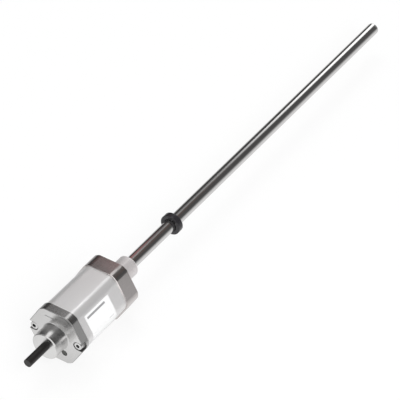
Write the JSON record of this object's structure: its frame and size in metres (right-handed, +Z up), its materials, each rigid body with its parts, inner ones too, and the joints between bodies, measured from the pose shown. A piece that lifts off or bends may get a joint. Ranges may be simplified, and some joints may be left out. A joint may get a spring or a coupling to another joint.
{
  "type": "magnetostrictive position sensor",
  "caption": "Rod-type linear position sensor: hexagonal metal head with threaded neck and cable boss, and a magnet ring that slides along its polished rod.",
  "frame": {"origin": "centre of the flange's mounting face, where the threaded neck starts, on the rod's axis", "axes": "+X along the rod towards its tip, +Z up, square to a flat of the hexagonal head; the label faces -Y and up"},
  "size_m": [0.5005, 0.0504, 0.046],
  "materials": {
    "flange_steel": "polished stainless steel, slightly dark and warm",
    "housing_aluminium": "fine satin extrusion",
    "cap_metal": "smooth, bright, soft reflections",
    "rod_steel": "ground and polished stainless tube",
    "screw_steel": "plain steel",
    "seal_rubber": "matt nitrile",
    "lens_smoke": "smoked clear plastic",
    "led_epoxy": "clear epoxy with tinned legs",
    "label_white": "white foil, bare",
    "cable_black": "black polyurethane sheath, soft sheen",
    "gland_brass": "turned brass",
    "core_brown": "smooth insulation",
    "core_green": "smooth insulation",
    "core_yellow": "smooth insulation",
    "core_grey": "smooth insulation",
    "core_pink": "smooth insulation",
    "core_white": "smooth insulation",
    "waveguide_alloy": "drawn nickel alloy tube",
    "copper": "bare copper",
    "ptfe": "waxy white plastic",
    "damper_silicone": "soft red-brown silicone",
    "chassis_plastic": "glass-filled moulding",
    "board_green": "solder mask",
    "chip_black": "moulded package",
    "capacitor_blue": "sleeved can",
    "connector_ivory": "moulded nylon",
    "coil_wire": "enamelled copper winding",
    "shield_steel": "drawn nickel iron",
    "ring_plastic": "moulded glass-filled plastic, glossy",
    "magnet_dark": "sintered magnet"
  },
  "bodies": {
    "sensor": {"flange_body": "flange_steel", "mount_o_ring": "seal_rubber", "housing_sleeve": "housing_aluminium", "flange_seal": "seal_rubber", "cap_gasket": "seal_rubber", "end_cap": "cap_metal", "cap_screws": "screw_steel", "spring_washers": "screw_steel", "status_lens": "lens_smoke", "status_led": "led_epoxy", "type_label": "label_white", "cable_sheath": "cable_black", "cable_grommet": "seal_rubber", "gland_washer": "screw_steel", "gland_nut": "gland_brass", "crimp_ring": "screw_steel", "core_plug": "connector_ivory", "core_socket": "connector_ivory", "cable_core_1": "core_brown", "cable_core_2": "core_green", "cable_core_3": "core_yellow", "cable_core_4": "core_grey", "cable_core_5": "core_pink", "cable_core_6": "core_white", "sensing_rod": "rod_steel", "tip_plug": "rod_steel", "waveguide": "waveguide_alloy", "pulse_conductor": "copper", "insulating_sleeve": "ptfe", "tip_damper": "damper_silicone", "rod_spacer_1": "ptfe", "rod_spacer_2": "ptfe", "rod_spacer_3": "ptfe", "rod_spacer_4": "ptfe", "rod_spacer_5": "ptfe", "rod_spacer_6": "ptfe", "chassis": "chassis_plastic", "chassis_screws": "screw_steel", "coil_bobbin": "connector_ivory", "pickup_coil": "coil_wire", "coil_shield": "shield_steel", "bias_magnet": "magnet_dark", "head_damper": "damper_silicone", "main_board": "board_green", "interface_board": "board_green", "board_screws": "screw_steel", "link_header": "chip_black", "processor": "chip_black", "pulse_driver": "chip_black", "storage_capacitors": "capacitor_blue"},
    "magnet": {"ring_body": "ring_plastic", "ring_magnet": "magnet_dark", "ring_cover": "ring_plastic"}
  },
  "joints": [
    {"name": "magnet_slide", "type": "slide", "parent": "sensor", "child": "magnet", "axis": [1, 0, 0], "range_m": [-0.056, 0.307]}
  ]
}
